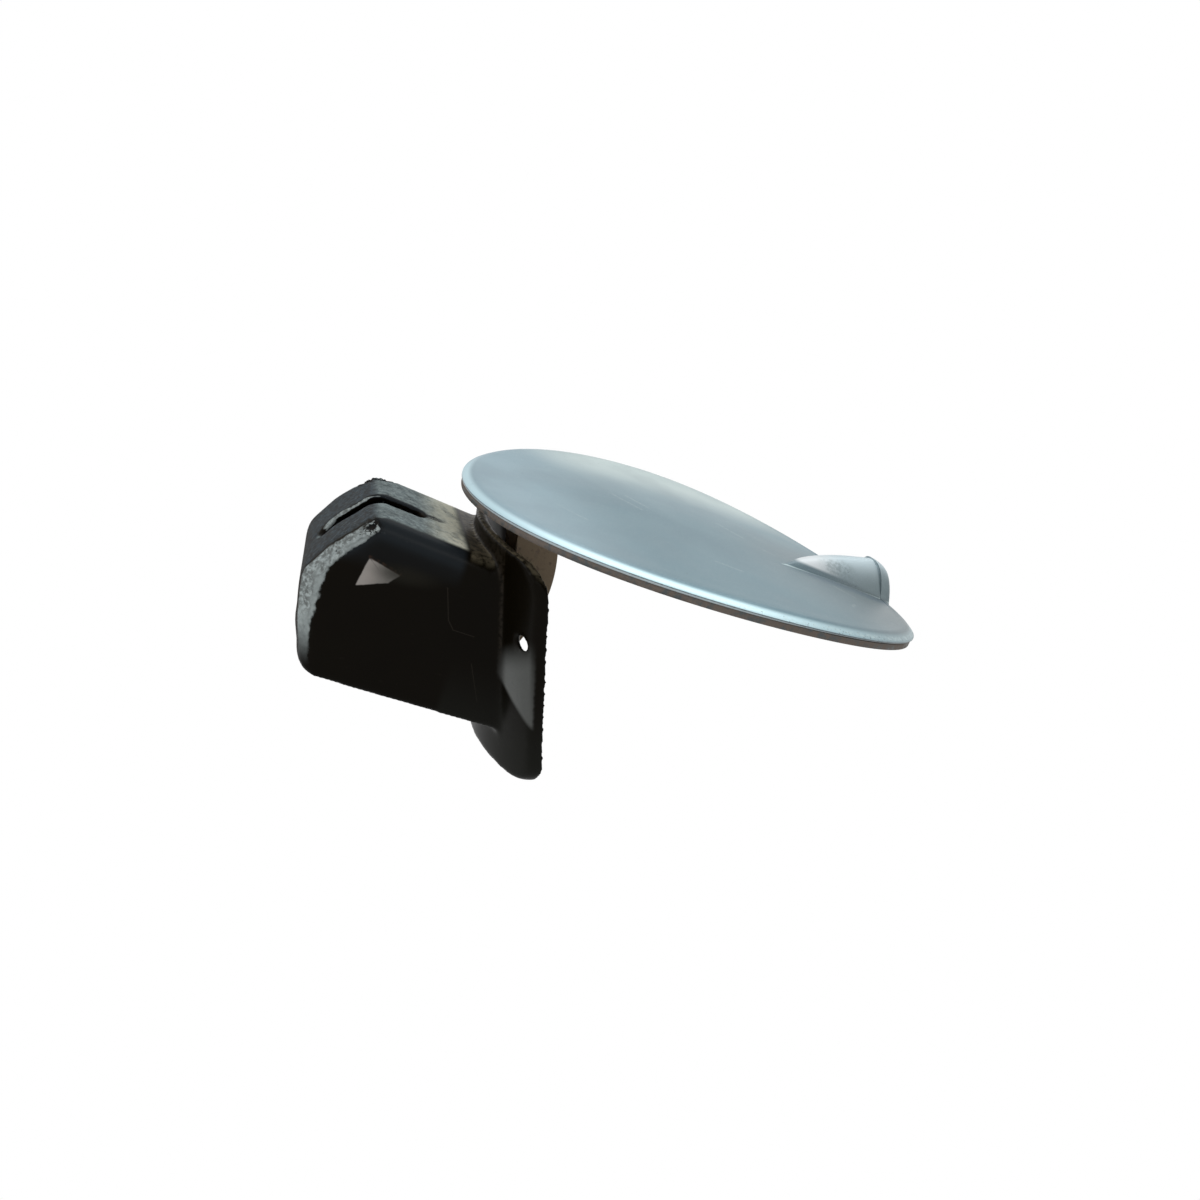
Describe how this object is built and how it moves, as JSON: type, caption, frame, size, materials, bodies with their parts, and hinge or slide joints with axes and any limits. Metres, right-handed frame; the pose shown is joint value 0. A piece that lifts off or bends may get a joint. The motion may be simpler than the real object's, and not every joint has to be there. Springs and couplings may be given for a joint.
{
  "type": "car fuel door",
  "caption": "Round painted car fuel door with a finger scoop, on a gooseneck hinge arm that swings in a moulded hinge box with a curved screw flange.",
  "frame": {"origin": "the flap's centre, level with its rim at the two ends of the diameter along the hinge pin", "axes": "+X from the hinge to the finger scoop, +Y along the hinge pin, +Z out of the car through the flap"},
  "size_m": [0.2065, 0.165, 0.1006],
  "materials": {
    "body_paint": "metallic, lightly scratched",
    "inner_paint": "satin",
    "buffer_rubber": "matte",
    "arm_steel": "dull and dusty",
    "rivet_steel": "dull",
    "bush_plastic": "satin",
    "housing_plastic": "worn gloss",
    "pin_steel": "satin",
    "spring_steel": "dull"
  },
  "bodies": {
    "hinge_box": {"housing": "housing_plastic", "hinge_pin": "pin_steel", "pin_push_nut": "rivet_steel", "return_spring": "spring_steel", "open_stop_pad": "buffer_rubber"},
    "flap": {"flap_skin": "body_paint", "flap_inner_panel": "inner_paint", "bump_stop_near": "buffer_rubber", "bump_stop_far": "buffer_rubber", "hinge_arm": "arm_steel", "arm_rivets": "rivet_steel", "pin_bush_near": "bush_plastic", "pin_bush_far": "bush_plastic"}
  },
  "joints": [
    {"name": "flap_hinge", "type": "hinge", "parent": "hinge_box", "child": "flap", "pos_m": [-0.099, 0, -0.033], "axis": [0, -1, 0], "range_deg": [0, 90]}
  ]
}
